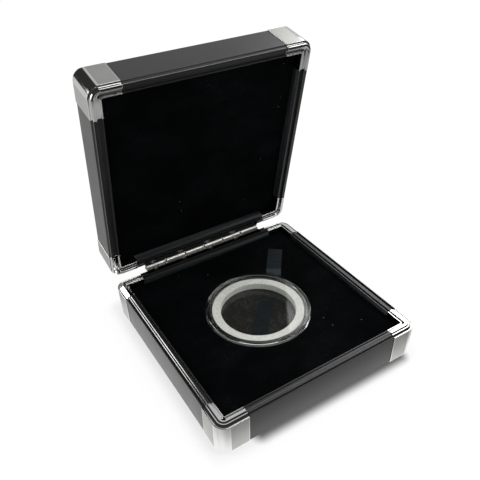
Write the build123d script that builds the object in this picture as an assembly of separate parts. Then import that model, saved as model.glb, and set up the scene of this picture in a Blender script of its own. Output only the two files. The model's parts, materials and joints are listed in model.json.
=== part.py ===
from build123d import *
import os
from math import cos, radians, sin

# Hinged display case for one encapsulated coin, in millimetres, +Z up.
# The origin is the middle of the base's underside. The base's front faces -Y.
# Each half is a frame of extruded aluminium rails and moulded corners round a board
# and a velvet pad. The lid turns on a knuckled hinge behind the rear rails, and it is
# written here standing open at its rest angle.

# ---- Case halves ----
case_width = 92.0
case_depth = 92.0
base_height = 14.75
lid_height = 14.75
parting_gap = 0.1            # between the two rims when the lid is shut
lid_open_angle = 79.2        # rest angle of the lid, counted from shut

# ---- Rails: s runs inward from the outer face ----
rail_width = 4.35
rail_wall = 0.9
panel_lip = 1.0
edge_round = 0.3
base_shoulder_drop = 1.0     # outer shoulder, below the rim
base_land_inset = 0.95       # start of the raised rim
base_land_width = 1.35
base_inner_step = 0.5        # inner ledge, below the rim
lid_shoulder_drop = 1.6
lid_land_inset = 0.75
lid_land_width = 1.45
lid_inner_step = 1.15

# ---- Corners ----
corner_leg = 12.0
corner_radius = 4.5
corner_proud = 0.3
tenon_length = 8.0
tenon_clearance = 0.1

# ---- Boards and pads ----
panel_thickness = 3.0        # at the edge that slides into the slots
panel_side_clearance = 0.2
panel_top_clearance = 0.1
pad_side_clearance = 0.3
pad_corner_radius = 1.5
base_pad_drop = 2.4          # velvet below the base's rim
lid_pad_drop = 3.5           # velvet below the lid's rim

# ---- Capsule ----
capsule_radius = 22.25
capsule_thickness = 5.6
capsule_proud = 0.25         # above the velvet
capsule_edge = 0.35          # chamfer round each rim
capsule_plate = 0.95
capsule_skirt = 1.4          # wall of the cover
capsule_spigot = 1.0         # wall of the dish that the cover slips over
capsule_rim_width = 2.1      # raised ring round each window
window_sink = 0.25
snap_clearance = 0.05
cavity_clearance = 0.1
ring_thickness = 3.2
ring_width = 3.6

# ---- Recess and lifting ribbon ----
recess_clearance = 0.5
ribbon_width = 6.8
ribbon_thickness = 0.25
ribbon_play = 0.05
ribbon_tail = 7.0            # glued below the pad
ribbon_free_length = 19.6    # lying on the pad
ribbon_floor_heading = 45.0
ribbon_top_heading = 52.3
ribbon_exit_angle = 38.9     # where it leaves the recess, seen from the middle
ribbon_groove = 0.8          # slot in the recess wall

# ---- Hinge ----
hinge_length = 61.0
hinge_offset = 1.6           # pin behind the rear face
knuckle_count = 6
knuckle_gap = 0.12
barrel_radius = 1.35
pin_radius = 0.6
pin_clearance = 0.05
leaf_thickness = 0.55
leaf_edge_clearance = 0.05
leaf_barrel_clearance = 0.15
notch_end_clearance = 0.15
screw_count = 4
screw_pitch = 14.3
screw_row_offset = -4.75     # the strip is cut between holes, so its row is off centre
screw_inset = 1.05
screw_head_radius = 1.0
screw_shank_radius = 0.55
screw_clearance = 0.05

# ---- Worked out from the sizes above ----
parting_height = base_height + parting_gap / 2
hinge_y = case_depth / 2 + hinge_offset
slot_height = panel_thickness + panel_top_clearance
slot_top = panel_lip + slot_height
ledge_top = slot_top + rail_wall
panel_top = panel_lip + panel_thickness
pad_inset = rail_width + pad_side_clearance
base_pad_top = base_height - base_pad_drop
lid_pad_top = lid_height - lid_pad_drop
capsule_top_height = base_pad_top + capsule_proud
capsule_bottom_height = capsule_top_height - capsule_thickness
recess_floor = capsule_bottom_height - ribbon_thickness - ribbon_play
recess_radius = capsule_radius + recess_clearance
hinge_axis = Axis((0, hinge_y, parting_height), (1, 0, 0))
OVERCUT = 1.0                # how far a cutting tool runs past what it cuts

os.makedirs("parts", exist_ok=True)


class Half:
    """The sizes of one half of the case, built rim upwards."""

    def __init__(self, height, shoulder_drop, land_inset, land_width, inner_step):
        self.height = height
        self.shoulder = height - shoulder_drop
        self.land_out = land_inset
        self.land_in = land_inset + land_width
        self.ledge = height - inner_step
        self.chamber_top = min(self.shoulder, self.ledge) - rail_wall


base_half = Half(base_height, base_shoulder_drop, base_land_inset, base_land_width, base_inner_step)
lid_half = Half(lid_height, lid_shoulder_drop, lid_land_inset, lid_land_width, lid_inner_step)


def box_between(low, high):
    """A box from its lowest to its highest corner."""
    size = [top - bottom for bottom, top in zip(low, high)]
    return Pos(*low) * Box(*size, align=(Align.MIN, Align.MIN, Align.MIN))


def cylinder_between(x, y, bottom, top, radius):
    """An upright cylinder."""
    return Pos(x, y, bottom) * Cylinder(radius, top - bottom, align=(Align.CENTER, Align.CENTER, Align.MIN))


def rail_section(half):
    """The hollow section of a rail, as a face in X (inward) and Y (up)."""
    outline = Polyline(
        (0, 0),
        (rail_width, 0),
        (rail_width, half.ledge),
        (half.land_in, half.ledge),
        (half.land_in, half.height),
        (half.land_out, half.height),
        (half.land_out, half.shoulder),
        (0, half.shoulder),
        close=True,
    )
    section = make_face(outline)
    outer_corners = section.vertices().group_by(Axis.X)[0]
    section = fillet(outer_corners, min(edge_round, rail_wall / 2))
    slot = Pos((rail_wall + rail_width + OVERCUT) / 2, panel_lip + slot_height / 2) * Rectangle(
        rail_width + OVERCUT - rail_wall, slot_height
    )
    chamber = Pos(rail_width / 2, (ledge_top + half.chamber_top) / 2) * Rectangle(
        rail_width - 2 * rail_wall, half.chamber_top - ledge_top
    )
    return section - slot - chamber


def make_rail(half, side_length, offset, turn):
    """A rail between two corners. turn is 0 for the front, 90 right, 180 rear, -90 left."""
    length = side_length - 2 * corner_leg
    plane = Plane(origin=(-length / 2, -offset, 0), x_dir=(0, 1, 0), z_dir=(1, 0, 0))
    rail = extrude(plane * rail_section(half), length)
    return Rot(0, 0, turn) * rail


def corner_block(half_inset, bottom, top):
    """A square block of a corner, inset from both outer faces, with its outer edge rounded."""
    span = corner_leg - half_inset
    plan = Pos(half_inset, half_inset) * Rectangle(span, span, align=(Align.MIN, Align.MIN))
    radius = corner_radius - corner_proud - half_inset
    if radius > edge_round:
        outer = plan.vertices().sort_by_distance((half_inset, half_inset))[0]
        plan = fillet(outer, radius)
    return Pos(0, 0, bottom) * extrude(plan, top - bottom)


def make_corner(half, x, y, turn):
    """A moulded corner, with a tenon into the chamber of each rail beside it."""
    body = corner_block(-corner_proud, 0, half.shoulder)
    rims = body.edges().filter_by(Plane.XY).group_by(Axis.Z)
    outer_rims = [
        edge
        for edge in rims[0] + rims[-1]
        if min(edge.center().X, edge.center().Y) < rail_wall
    ]
    body = fillet(outer_rims, edge_round)
    body += corner_block(half.land_out, half.shoulder / 2, half.height)
    body -= corner_block(half.land_in, half.ledge, half.height + OVERCUT)
    body -= corner_block(rail_wall, panel_lip, slot_top)
    body -= box_between(
        (rail_width, rail_width, -OVERCUT),
        (corner_leg + OVERCUT, corner_leg + OVERCUT, half.height + OVERCUT),
    )
    tenon_side = rail_wall + tenon_clearance
    tenon = box_between(
        (corner_leg - OVERCUT, tenon_side, ledge_top + tenon_clearance),
        (corner_leg + tenon_length, rail_width - tenon_side, half.chamber_top - tenon_clearance),
    )
    body += tenon
    body += mirror(tenon, about=Plane(origin=(0, 0, 0), z_dir=(1, -1, 0)))
    return Pos(x, y, 0) * Rot(0, 0, turn) * body


def make_panel():
    """The board: its edge slides into the slots, and its middle lies flush with the frame's outside."""
    edge_inset = rail_wall + panel_side_clearance
    edge_plan = RectangleRounded(
        case_width - 2 * edge_inset,
        case_depth - 2 * edge_inset,
        corner_radius - corner_proud - rail_wall,
    )
    middle_inset = rail_width + panel_side_clearance
    middle_plan = Rectangle(case_width - 2 * middle_inset, case_depth - 2 * middle_inset)
    return Pos(0, 0, panel_lip) * extrude(edge_plan, panel_thickness) + extrude(middle_plan, panel_lip)


def pad_block(bottom, top):
    """A block of pad that fills the frame between two heights."""
    plan = RectangleRounded(case_width - 2 * pad_inset, case_depth - 2 * pad_inset, pad_corner_radius)
    return Pos(0, 0, bottom) * extrude(plan, top - bottom)


def flat_strip(start_x, start_y, heading, length, bottom, thickness, width):
    """A flat strip from a point on its middle line, along a heading."""
    strip = Box(length, width, thickness, align=(Align.MIN, Align.CENTER, Align.MIN))
    return Pos(start_x, start_y, bottom) * Rot(0, 0, heading) * strip


# ---- Lifting ribbon: along the recess floor, up its wall and over the pad ----
ribbon_rise = capsule_radius + 0.3
exit_x = ribbon_rise * cos(radians(ribbon_exit_angle))
exit_y = ribbon_rise * sin(radians(ribbon_exit_angle))
floor_length = 2 * recess_radius - recess_clearance
ribbon_groove_reach = recess_radius + ribbon_groove
floor_back_x = exit_x - (floor_length + ribbon_tail) * cos(radians(ribbon_floor_heading))
floor_back_y = exit_y - (floor_length + ribbon_tail) * sin(radians(ribbon_floor_heading))


def make_ribbon():
    """The ribbon that lifts the capsule out, as one strap."""
    floor_run = flat_strip(
        floor_back_x,
        floor_back_y,
        ribbon_floor_heading,
        floor_length + ribbon_tail + ribbon_thickness,
        recess_floor,
        ribbon_thickness,
        ribbon_width,
    )
    rise_run = flat_strip(
        exit_x,
        exit_y,
        ribbon_exit_angle,
        ribbon_thickness,
        recess_floor,
        base_pad_top + ribbon_thickness - recess_floor,
        ribbon_width,
    )
    top_run = flat_strip(
        exit_x,
        exit_y,
        ribbon_top_heading,
        ribbon_free_length,
        base_pad_top,
        ribbon_thickness,
        ribbon_width,
    )
    clear_bore = cylinder_between(0, 0, recess_floor + ribbon_thickness, base_height, ribbon_rise)
    return floor_run + rise_run + (top_run - clear_bore)


def make_base_pad():
    """The velvet pad, with its round recess and the slots that the ribbon takes."""
    pad = pad_block(recess_floor, base_pad_top)
    pad -= cylinder_between(0, 0, recess_floor - OVERCUT, base_pad_top + OVERCUT, recess_radius)
    groove_width = ribbon_width + 2 * pad_side_clearance
    pad -= flat_strip(
        0,
        0,
        ribbon_exit_angle,
        ribbon_groove_reach,
        recess_floor - OVERCUT,
        base_pad_top - recess_floor + 2 * OVERCUT,
        groove_width,
    )
    pad -= flat_strip(
        floor_back_x - pad_side_clearance * cos(radians(ribbon_floor_heading)),
        floor_back_y - pad_side_clearance * sin(radians(ribbon_floor_heading)),
        ribbon_floor_heading,
        ribbon_tail + recess_radius,
        recess_floor - OVERCUT,
        OVERCUT + ribbon_thickness + ribbon_play,
        groove_width,
    )
    return pad


# ---- Capsule: a dish with a spigot, a cover that slips over it, and a foam ring ----
spigot_outer = capsule_radius - capsule_skirt - snap_clearance
cavity_radius = spigot_outer - capsule_spigot
window_radius = capsule_radius - capsule_rim_width
split_height = capsule_thickness / 2
cavity_bottom = capsule_plate
cavity_top = capsule_thickness - capsule_plate


def turned(points):
    """A solid of revolution about Z, standing where the capsule does."""
    face = make_face(Plane.XZ * Polyline(*points, close=True))
    return Pos(0, 0, capsule_bottom_height) * revolve(face, Axis.Z)


def make_capsule_dish():
    spigot_top = cavity_top - 2 * snap_clearance
    return turned(
        [
            (0, window_sink),
            (window_radius, window_sink),
            (window_radius + window_sink, 0),
            (capsule_radius - capsule_edge, 0),
            (capsule_radius, capsule_edge),
            (capsule_radius, split_height - snap_clearance / 2),
            (spigot_outer, split_height - snap_clearance / 2),
            (spigot_outer, spigot_top),
            (cavity_radius, spigot_top),
            (cavity_radius, cavity_bottom),
            (0, cavity_bottom),
        ]
    )


def make_capsule_cover():
    skirt_inner = spigot_outer + snap_clearance
    return turned(
        [
            (0, cavity_top),
            (skirt_inner, cavity_top),
            (skirt_inner, split_height + snap_clearance / 2),
            (capsule_radius, split_height + snap_clearance / 2),
            (capsule_radius, capsule_thickness - capsule_edge),
            (capsule_radius - capsule_edge, capsule_thickness),
            (window_radius + window_sink, capsule_thickness),
            (window_radius, capsule_thickness - window_sink),
            (0, capsule_thickness - window_sink),
        ]
    )


def make_capsule_ring():
    outer = cavity_radius - cavity_clearance
    inner = outer - ring_width
    bottom = capsule_bottom_height + cavity_bottom
    ring = cylinder_between(0, 0, bottom, bottom + ring_thickness, outer)
    return ring - cylinder_between(0, 0, bottom - OVERCUT, bottom + ring_thickness + OVERCUT, inner)


# ---- Hinge ----
leaf_top = base_height
leaf_bottom = leaf_top - leaf_thickness
screw_y = case_depth / 2 - screw_inset
screw_places = [
    screw_row_offset + (index - (screw_count - 1) / 2) * screw_pitch for index in range(screw_count)
]
countersink_depth = screw_head_radius - screw_shank_radius


def barrel(radius, low_x, high_x):
    """A round bar on the hinge's axis."""
    bar = Cylinder(radius, high_x - low_x, align=(Align.CENTER, Align.CENTER, Align.MIN))
    return Pos(low_x, hinge_y, parting_height) * Rot(0, 90, 0) * bar


def countersunk(x, shank_radius, head_radius, depth):
    """A countersunk screw's form, pointing down from the leaf's upper face."""
    cone = Pos(x, screw_y, leaf_top - countersink_depth) * Cone(
        shank_radius,
        head_radius,
        countersink_depth,
        align=(Align.CENTER, Align.CENTER, Align.MIN),
    )
    return cone + cylinder_between(x, screw_y, leaf_top - depth, leaf_top - countersink_depth / 2, shank_radius)


def make_leaf(half, first_knuckle):
    """A leaf on the rear rim of the base, with every second knuckle from the first one given."""
    near_barrel = hinge_y - barrel_radius - leaf_barrel_clearance
    leaf_edge = case_depth / 2 - half.land_in + leaf_edge_clearance
    leaf = box_between(
        (-hinge_length / 2, leaf_edge, leaf_bottom),
        (hinge_length / 2, near_barrel, leaf_top),
    )
    pitch = hinge_length / knuckle_count
    for index in range(first_knuckle, knuckle_count, 2):
        low_x = -hinge_length / 2 + index * pitch + knuckle_gap / 2
        high_x = low_x + pitch - knuckle_gap
        leaf += box_between((low_x, near_barrel - OVERCUT / 2, leaf_bottom), (high_x, hinge_y, leaf_top))
        leaf += barrel(barrel_radius, low_x, high_x)
    leaf -= barrel(pin_radius + pin_clearance, -hinge_length, hinge_length)
    for x in screw_places:
        leaf -= countersunk(
            x,
            screw_shank_radius + screw_clearance,
            screw_head_radius + screw_clearance,
            leaf_thickness + OVERCUT,
        )
    return leaf


def make_screws(half):
    """The countersunk screws of one leaf, as long as the leaf and the rim under it."""
    length = half.height - half.chamber_top
    slot_length = 1.3 * screw_head_radius
    slot_width = 0.28 * screw_head_radius
    screws = []
    for x in screw_places:
        screw = countersunk(x, screw_shank_radius, screw_head_radius, length)
        for turn in (0, 90):
            slot = Box(slot_length, slot_width, countersink_depth)
            screw -= Pos(x, screw_y, leaf_top) * Rot(0, 0, turn + 45) * slot
        screws.append(screw)
    return Compound(children=screws)


def notch_rear_rail(rail, half):
    """Mills the rim for the leaf and drills the screw holes."""
    reach = hinge_length / 2 + notch_end_clearance
    rail -= box_between(
        (-reach, case_depth / 2 - half.land_in, half.height - leaf_thickness),
        (reach, case_depth / 2 + OVERCUT, half.height + OVERCUT),
    )
    for x in screw_places:
        rail -= cylinder_between(
            x,
            screw_y,
            half.chamber_top - OVERCUT,
            half.height,
            screw_shank_radius + screw_clearance,
        )
    return rail


# ---- Assembly ----
def half_nodes(prefix, half):
    """The frame and board of one half, rim upwards at the base's place."""
    x = case_width / 2
    y = case_depth / 2
    nodes = {
        "front_rail": make_rail(half, case_width, y, 0),
        "right_rail": make_rail(half, case_depth, x, 90),
        "rear_rail": notch_rear_rail(make_rail(half, case_width, y, 180), half),
        "left_rail": make_rail(half, case_depth, x, -90),
        "corner_front_left": make_corner(half, -x, -y, 0),
        "corner_front_right": make_corner(half, x, -y, 90),
        "corner_rear_right": make_corner(half, x, y, 180),
        "corner_rear_left": make_corner(half, -x, y, -90),
        "panel": make_panel(),
    }
    return {f"{prefix}_{name}": solid for name, solid in nodes.items()}


def on_lid(solid):
    """Turns a piece built rim upwards over onto the base, then opens it to the rest angle."""
    rim_to_parting = Pos(0, 0, base_height - lid_height) * solid
    shut = mirror(rim_to_parting, about=Plane.XY.offset(parting_height))
    return shut.rotate(hinge_axis, -lid_open_angle)


base_nodes = half_nodes("base", base_half)
base_nodes["base_pad_floor"] = pad_block(panel_top, recess_floor)
base_nodes["base_pad"] = make_base_pad()
base_nodes["lift_ribbon"] = make_ribbon()
base_nodes["capsule_dish"] = make_capsule_dish()
base_nodes["capsule_cover"] = make_capsule_cover()
base_nodes["capsule_ring"] = make_capsule_ring()
base_nodes["hinge_leaf_base"] = make_leaf(base_half, 0)
base_nodes["hinge_screws_base"] = make_screws(base_half)
base_nodes["hinge_pin"] = barrel(pin_radius, -hinge_length / 2, hinge_length / 2)

# The lid's own height may differ from the base's, so its rim is brought to the base's rim.
lid_frame = half_nodes("lid", lid_half)
lid_frame["lid_pad"] = pad_block(panel_top, lid_pad_top)
lid_nodes = {name: on_lid(solid) for name, solid in lid_frame.items()}


def on_lid_from_base_rim(solid):
    """As on_lid, for hinge pieces that are built at the base's rim."""
    shut = mirror(solid, about=Plane.XY.offset(parting_height))
    return shut.rotate(hinge_axis, -lid_open_angle)


lid_nodes["hinge_leaf_lid"] = on_lid_from_base_rim(make_leaf(lid_half, 1))
lid_nodes["hinge_screws_lid"] = on_lid_from_base_rim(make_screws(lid_half))

for name, solid in (base_nodes | lid_nodes).items():
    export_step(solid, f"parts/{name}.step")
    print(name, "written")
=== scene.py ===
"""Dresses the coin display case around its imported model. An add-on that runs as a script."""

import json
from math import cos, pi, radians, sin
from types import SimpleNamespace

import bmesh
import bpy
from bpy.props import FloatProperty, FloatVectorProperty, IntProperty, PointerProperty
from mathutils import Matrix, Vector


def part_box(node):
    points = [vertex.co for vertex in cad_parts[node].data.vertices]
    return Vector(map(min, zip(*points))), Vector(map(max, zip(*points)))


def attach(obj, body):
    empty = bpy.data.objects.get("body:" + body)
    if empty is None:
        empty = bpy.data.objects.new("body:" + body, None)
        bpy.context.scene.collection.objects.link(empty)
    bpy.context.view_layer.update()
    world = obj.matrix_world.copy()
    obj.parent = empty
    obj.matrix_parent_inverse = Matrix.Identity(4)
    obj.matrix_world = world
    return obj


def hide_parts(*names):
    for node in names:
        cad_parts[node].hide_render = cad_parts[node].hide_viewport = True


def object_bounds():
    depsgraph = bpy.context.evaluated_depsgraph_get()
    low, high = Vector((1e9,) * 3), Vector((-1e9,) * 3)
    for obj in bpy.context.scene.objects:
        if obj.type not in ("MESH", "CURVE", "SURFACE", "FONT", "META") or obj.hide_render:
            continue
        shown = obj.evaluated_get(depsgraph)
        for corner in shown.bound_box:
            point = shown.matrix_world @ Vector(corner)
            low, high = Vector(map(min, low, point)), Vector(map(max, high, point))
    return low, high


bl_info = {
    "name": "Coin Display Case",
    "version": (1, 0, 0),
    "blender": (4, 5, 0),
    "location": "3D View > Sidebar > Coin Case",
    "description": "Makes the frame, velvet, ribbon, capsule and hinge of a coin display case",
    "category": "Object",
}

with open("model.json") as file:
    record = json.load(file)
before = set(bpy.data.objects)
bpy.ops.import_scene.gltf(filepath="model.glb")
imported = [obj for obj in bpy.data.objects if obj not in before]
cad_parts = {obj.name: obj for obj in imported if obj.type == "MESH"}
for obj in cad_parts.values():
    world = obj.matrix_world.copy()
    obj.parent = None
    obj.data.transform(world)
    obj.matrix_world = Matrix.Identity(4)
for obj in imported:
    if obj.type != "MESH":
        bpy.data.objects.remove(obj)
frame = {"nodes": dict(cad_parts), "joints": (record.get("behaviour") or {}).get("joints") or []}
MODEL_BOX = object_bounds()

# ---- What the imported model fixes, in metres unless the name says otherwise ----
MM = 0.001
FRONT_RAIL_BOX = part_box("base_front_rail")
RIGHT_RAIL_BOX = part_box("base_right_rail")
PAD_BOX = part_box("base_pad")
PAD_FLOOR_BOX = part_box("base_pad_floor")
PANEL_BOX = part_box("base_panel")
DISH_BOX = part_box("capsule_dish")
COVER_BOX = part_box("capsule_cover")
RING_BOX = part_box("capsule_ring")
LEAF_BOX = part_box("hinge_leaf_base")
HINGE = next(joint for joint in frame["joints"] if joint["name"] == "lid_hinge")
HINGE_POINT = Vector(HINGE["pos_m"])
OPEN_ANGLE = radians(max(HINGE["range_deg"]))

CASE_HALF_MM = RIGHT_RAIL_BOX[1].x / MM
BASE_HEIGHT_MM = FRONT_RAIL_BOX[1].z / MM
CORNER_LEG_MM = CASE_HALF_MM - FRONT_RAIL_BOX[1].x / MM
HINGE_MM = HINGE_POINT / MM

LONG_SIDES = {"front": 0, "right": 90, "rear": 180, "left": -90}
CORNER_TURNS = {"front_left": 0, "front_right": 90, "rear_right": 180, "rear_left": -90}


# ---- Settings ----
def length(name, millimetres, description):
    """A length that the sidebar shows in the scene's units."""
    return FloatProperty(
        name=name,
        description=description,
        default=millimetres * MM,
        min=0.0,
        unit="LENGTH",
        precision=5,
    )


def angle(name, degrees, description):
    """An angle, written here in degrees."""
    return FloatProperty(
        name=name, description=description, default=radians(degrees), subtype="ANGLE"
    )


def share(name, value, description):
    """A number from 0 to 1."""
    return FloatProperty(
        name=name, description=description, default=value, min=0.0, max=1.0, subtype="FACTOR"
    )


def amount(name, value, description):
    """A plain positive number."""
    return FloatProperty(name=name, description=description, default=value, min=0.0)


def count(name, value, description):
    """A number of like pieces."""
    return IntProperty(name=name, description=description, default=value, min=1)


def colour(name, value, description):
    """A linear colour."""
    return FloatVectorProperty(
        name=name, description=description, default=value, size=3, min=0.0, max=1.0, subtype="COLOR"
    )


class FrameSettings(bpy.types.PropertyGroup):
    """Sizes of the rails and corners."""

    rail_width: length("Rail width", 4.35, "From the outer face to the pad")
    rail_wall: length("Rail wall", 0.9, "Metal outside the board's slot")
    panel_lip: length("Lip", 1.0, "Metal outside the board's edge")
    slot_height: length("Slot height", 3.1, "Slot that takes the board's edge")
    base_rail_shoulder: length("Base rail shoulder", 0.3, "Rails' shoulder below the tongue")
    base_corner_shoulder: length("Base corner shoulder", 1.05, "Corners' shoulder below the tongue")
    base_shoulder_width: length("Base shoulder width", 0.4, "Width of that shoulder")
    base_gutter_slope: length("Base gutter", 0.8, "Depth and width of the gutter's slope")
    base_rail_step_start: length("Base rail step start", 1.55, "Outer side of the rails' step")
    base_corner_step_start: length("Base corner step start", 1.2, "Outer side of the corners' step")
    worn_drop: length("Worn edge", 0.2, "How far down from the step its outer edge is rubbed")
    base_rail_step: length("Base rail step", 0.3, "Rails' step below the tongue's top")
    base_corner_step: length("Base corner step", 0.5, "Corners' step below the tongue's top")
    base_rail_tongue: length("Rail tongue start", 2.35, "Outer side of the rails' tongue")
    base_corner_tongue: length("Corner tongue start", 2.05, "Outer side of the corners' tongue")
    base_tongue_end: length("Tongue end", 3.2, "Inner side of the tongue")
    base_groove_drop: length("Base groove", 0.75, "Bottom of the groove below the tongue's top")
    base_lip_width: length("Base lip", 0.4, "Width of the inner lip beside the velvet")
    base_lip_drop: length("Base lip drop", 0.3, "Inner lip below the tongue's top")
    lid_height: length("Lid height", 14.75, "From the lid's outside to its rim")
    lid_shoulder_drop: length("Lid shoulder", 1.4, "Outer shoulder below the lid's rim")
    lid_fillet: length("Lid fillet", 0.3, "Hollow where the shoulder meets the rim")
    lid_land_start: length("Lid rim start", 0.5, "Outer side of the lid's rim")
    lid_land_end: length("Lid rim end", 1.95, "Inner side of the lid's rim")
    lid_groove_drop: length("Lid groove", 1.15, "Bottom of the groove that takes the tongue")
    lid_lip_width: length("Lid lip", 0.5, "Width of the inner lip beside the velvet")
    lid_lip_drop: length("Lid lip drop", 0.5, "Inner lip below the lid's rim")
    rail_sink: length("Rail sink", 0.2, "Rails' rims below the corners' rims")
    rail_gap: length("Rail gap", 0.15, "Open joint between a rail and a corner")
    base_rail_edge: length("Base rail edge", 0.05, "Rounding of the base rails' rim edges")
    lid_rail_edge: length("Lid rail edge", 0.15, "Rounding of the lid rails' rim edges")
    outer_edge: length("Outer edge", 0.2, "Rounding of the outermost edges")
    corner_radius: length("Corner radius", 4.5, "Rounding of the corners' upright edge")
    corner_proud: length("Corner step", 0.3, "How far the corners stand out of the rails")
    least_radius: length("Least corner radius", 0.6, "Rounding of the corners' innermost turns")
    corner_edge: length("Corner edge", 0.18, "Rounding of the corners' rim edges")
    satin_border: length("Polished border", 0.15, "Polished border round each satin face")


class PadSettings(bpy.types.PropertyGroup):
    """Sizes of the boards and velvet pads."""

    pad_clearance: length("Pad clearance", 0.3, "Between a pad and its rails")
    pad_corner: length("Pad corner", 1.5, "Rounding of a pad's corners in plan")
    lid_pad_drop: length("Lid pad drop", 3.5, "Velvet below the lid's rim")
    nap_round: length("Nap round", 0.55, "Rounding where the velvet turns over an edge")
    recess_radius: length("Recess radius", 22.75, "Round recess that takes the capsule")
    pull_depth: length("Pull", 0.45, "How far the velvet is pulled down at a pad's edges")
    pull_reach: length("Pull reach", 5.0, "How far from a pad's edges the velvet starts to go down")
    slice_spacing: length("Slices", 2.5, "Spacing of the cuts that let a pad's top bend")
    panel_clearance: length("Board clearance", 0.12, "Round the board's flush middle")
    panel_edge: length("Board edge", 0.12, "Rounding of the board's edges")


class CapsuleSettings(bpy.types.PropertyGroup):
    """Sizes of the clear capsule and its foam ring."""

    chamfer: length("Rim chamfer", 0.35, "Chamfer round each rim")
    plate: length("Plate", 0.95, "Thickness of each window")
    skirt: length("Skirt", 1.4, "Wall of the cover")
    spigot: length("Spigot", 1.0, "Wall of the dish inside the cover's")
    snap_clearance: length("Snap clearance", 0.05, "Between the two halves")
    rim_width: length("Rim width", 2.1, "Raised ring round each window")
    window_sink: length("Window sink", 0.25, "Window below its raised ring")
    edge: length("Plastic edge", 0.09, "Rounding of the moulded edges")
    ring_width: length("Foam ring width", 3.6, "Radial width of the foam ring")
    ring_edge: length("Foam edge", 0.3, "Rounding of the foam ring's cut edges")


class RibbonSettings(bpy.types.PropertyGroup):
    """Sizes of the lifting ribbon."""

    width: length("Width", 6.8, "Across the ribbon")
    thickness: length("Thickness", 0.25, "Through the ribbon")
    free_length: length("Free length", 19.6, "Part that lies on the velvet")
    tail: length("Tail", 7.0, "Part glued under the pad")
    floor_heading: angle("Floor heading", 45.0, "Direction across the recess floor")
    top_heading: angle("Top heading", 52.3, "Direction over the velvet")
    exit_angle: angle("Exit angle", 38.9, "Where it leaves the recess, seen from the middle")
    rise_gap: length("Rise gap", 0.3, "Between the capsule and the rising ribbon")
    # The bend's middle and reach place only the ribbon's painted highlight at its crease.
    bend_middle: length("Bend", 59.2, "From the glued end to the bend over the recess's edge")
    bend_reach: length("Bend reach", 3.4, "Half the length that the bend has creased")


class HingeSettings(bpy.types.PropertyGroup):
    """Sizes of the hinge."""

    barrel_radius: length("Barrel radius", 1.35, "Outside of the knuckles")
    bore_radius: length("Bore radius", 0.65, "Bore for the pin")
    leaf_thickness: length("Leaf", 0.55, "Thickness of the leaves")
    barrel_clearance: length("Barrel clearance", 0.15, "Between a leaf's plate and the barrel")
    knuckle_gap: length("Knuckle gap", 0.45, "Between neighbouring knuckles")
    knuckles: count("Knuckles", 6, "Knuckles along the barrel")
    leaf_edge: length("Leaf edge", 0.08, "Rounding of the plate's edges")
    knuckle_edge: length("Knuckle edge", 0.25, "Rounding of the knuckles' ends")
    screw_y: length("Screw row", 44.95, "Screw row behind the middle of the case")
    screw_pitch: length("Screw pitch", 14.3, "Between neighbouring screws")
    screw_count: count("Screws", 4, "Screws in each leaf")
    screw_offset: FloatProperty(
        name="Row offset",
        description="Middle of the screw row along the hinge",
        default=-4.75 * MM,
        unit="LENGTH",
    )
    screw_hole: length("Screw hole", 0.6, "Radius of the hole through the leaf")
    screw_sink: length("Countersink", 1.05, "Radius of the countersink at the leaf's face")


class FinishSettings(bpy.types.PropertyGroup):
    """Colours of the finishes."""

    rail_black: colour("Rail black", (0.010, 0.0105, 0.010), "Satin black of the rails")
    # Painted light: the wall over the velvet is painted lighter than the rails' black, standing in
    # for the light it reflects.
    rail_inside: colour("Rail inside", (0.066, 0.074, 0.082), "Duller rail wall over the velvet")
    bare_metal: colour("Bare metal", (0.60, 0.60, 0.59), "Metal that shows where edges are rubbed")
    satin_metal: colour("Satin metal", (0.50, 0.50, 0.48), "Satin faces of the corners")
    polished_metal: colour("Polished metal", (0.80, 0.80, 0.79), "Polished parts of the corners")
    velvet_black: colour("Velvet", (0.0008, 0.0012, 0.0014), "Velvet of both pads")
    # Painted sheen: the velvet is lighter where its nap leans over, standing in for light caught on
    # the nap.
    nap_light: colour("Velvet nap", (0.0038, 0.0050, 0.0055), "Velvet where its nap leans over")
    lint: colour("Lint", (0.16, 0.17, 0.17), "Specks of lint on the velvet")
    recess_cloth: colour("Recess cloth", (0.058, 0.056, 0.050), "Cloth at the bottom of the recess")
    ribbon_dark: colour("Ribbon", (0.0015, 0.003, 0.004), "Dark side of the ribbon's weave")
    # Painted highlight: the ribbon is lighter where it bends.
    ribbon_crease: colour("Ribbon crease", (0.045, 0.055, 0.060), "Ribbon where it is bent")
    ribbon_light: colour("Ribbon rib", (0.015, 0.024, 0.029), "Ribs of the ribbon's weave")
    foam_white: colour("Foam", (0.71, 0.71, 0.67), "Foam ring")
    clear_plastic: colour("Clear plastic", (0.93, 0.94, 0.93), "Capsule")
    nickel: colour("Nickel", (0.84, 0.83, 0.79), "Hinge, pin and screws")
    board_black: colour("Board", (0.012, 0.012, 0.012), "Film on the boards")


class StageSettings(bpy.types.PropertyGroup):
    """Camera, lights and floor."""

    focal_length: amount("Lens", 41.168, "Focal length in millimetres")
    distance: length("Camera distance", 207.503, "From the camera to the point it turns about")
    azimuth: angle("Camera azimuth", -31.401, "Round the case, counted from its front")
    elevation: angle("Camera elevation", 38.091, "Above the horizon")
    roll: angle("Camera roll", -1.309, "About the line of sight")
    surround: amount("Surround", 0.75, "How brightly the surroundings light matt surfaces")
    room_bright: share("Bright room", 0.60, "How bright mirrors show the room behind the case")
    room_dark: share("Dark room", 0.03, "How bright mirrors show the rest of the room")
    floor_near: amount("Floor beside the case", 1.1, "How bright mirrors show it")
    floor_far: amount("Floor", 0.65, "How bright mirrors show the rest of the floor")
    floor_front: share("Floor in front", 0.6, "How much of that is left in front of the case")
    floor_shadow: share("Floor shadow", 0.12, "Share of the open floor's look that takes shadows")
    floor_glow: amount("Floor glow", 1.03, "Brightness of the rest, which makes open floor white")
    contact_reach: length("Contact shadow", 5.5, "How far the dark line under the rails reaches")
    contact_dark: share("Contact darkness", 0.15, "Brightness of the floor under the rails' edge")


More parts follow.
